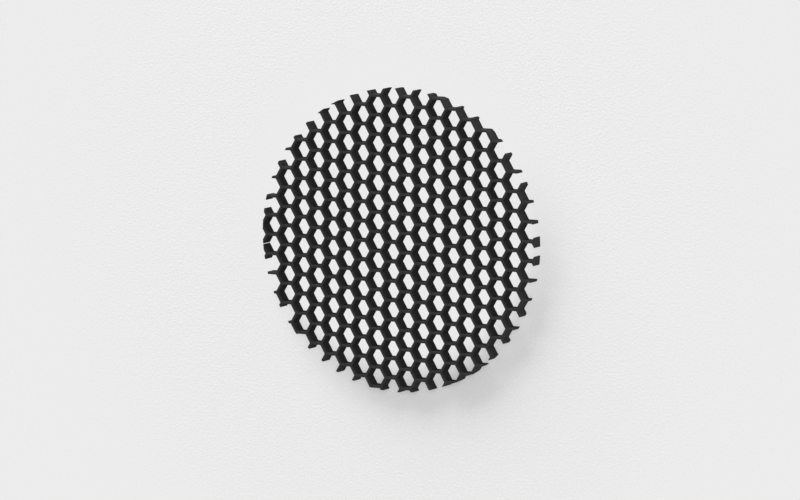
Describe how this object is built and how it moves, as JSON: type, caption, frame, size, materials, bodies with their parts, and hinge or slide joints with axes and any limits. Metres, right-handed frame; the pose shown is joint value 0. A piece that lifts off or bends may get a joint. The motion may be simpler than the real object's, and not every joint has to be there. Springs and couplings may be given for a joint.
{
  "type": "honeycomb louver",
  "caption": "Thin round louver of open hexagonal cells in black anodised aluminium, which shields a small lamp from side view and glare.",
  "frame": {"origin": "centre of the disc on its back face, the face that it lies on", "axes": "+Z along the disc's axis, from the back face to the front face that the picture shows; +X and +Y are the picture's right and up across the disc, and two walls of each cell run along X"},
  "size_m": [0.05, 0.05, 0.0023],
  "materials": {
    "black_anodised": "matt black anodised"
  },
  "bodies": {
    "root": {"honeycomb_louver": "black_anodised"}
  },
  "joints": []
}
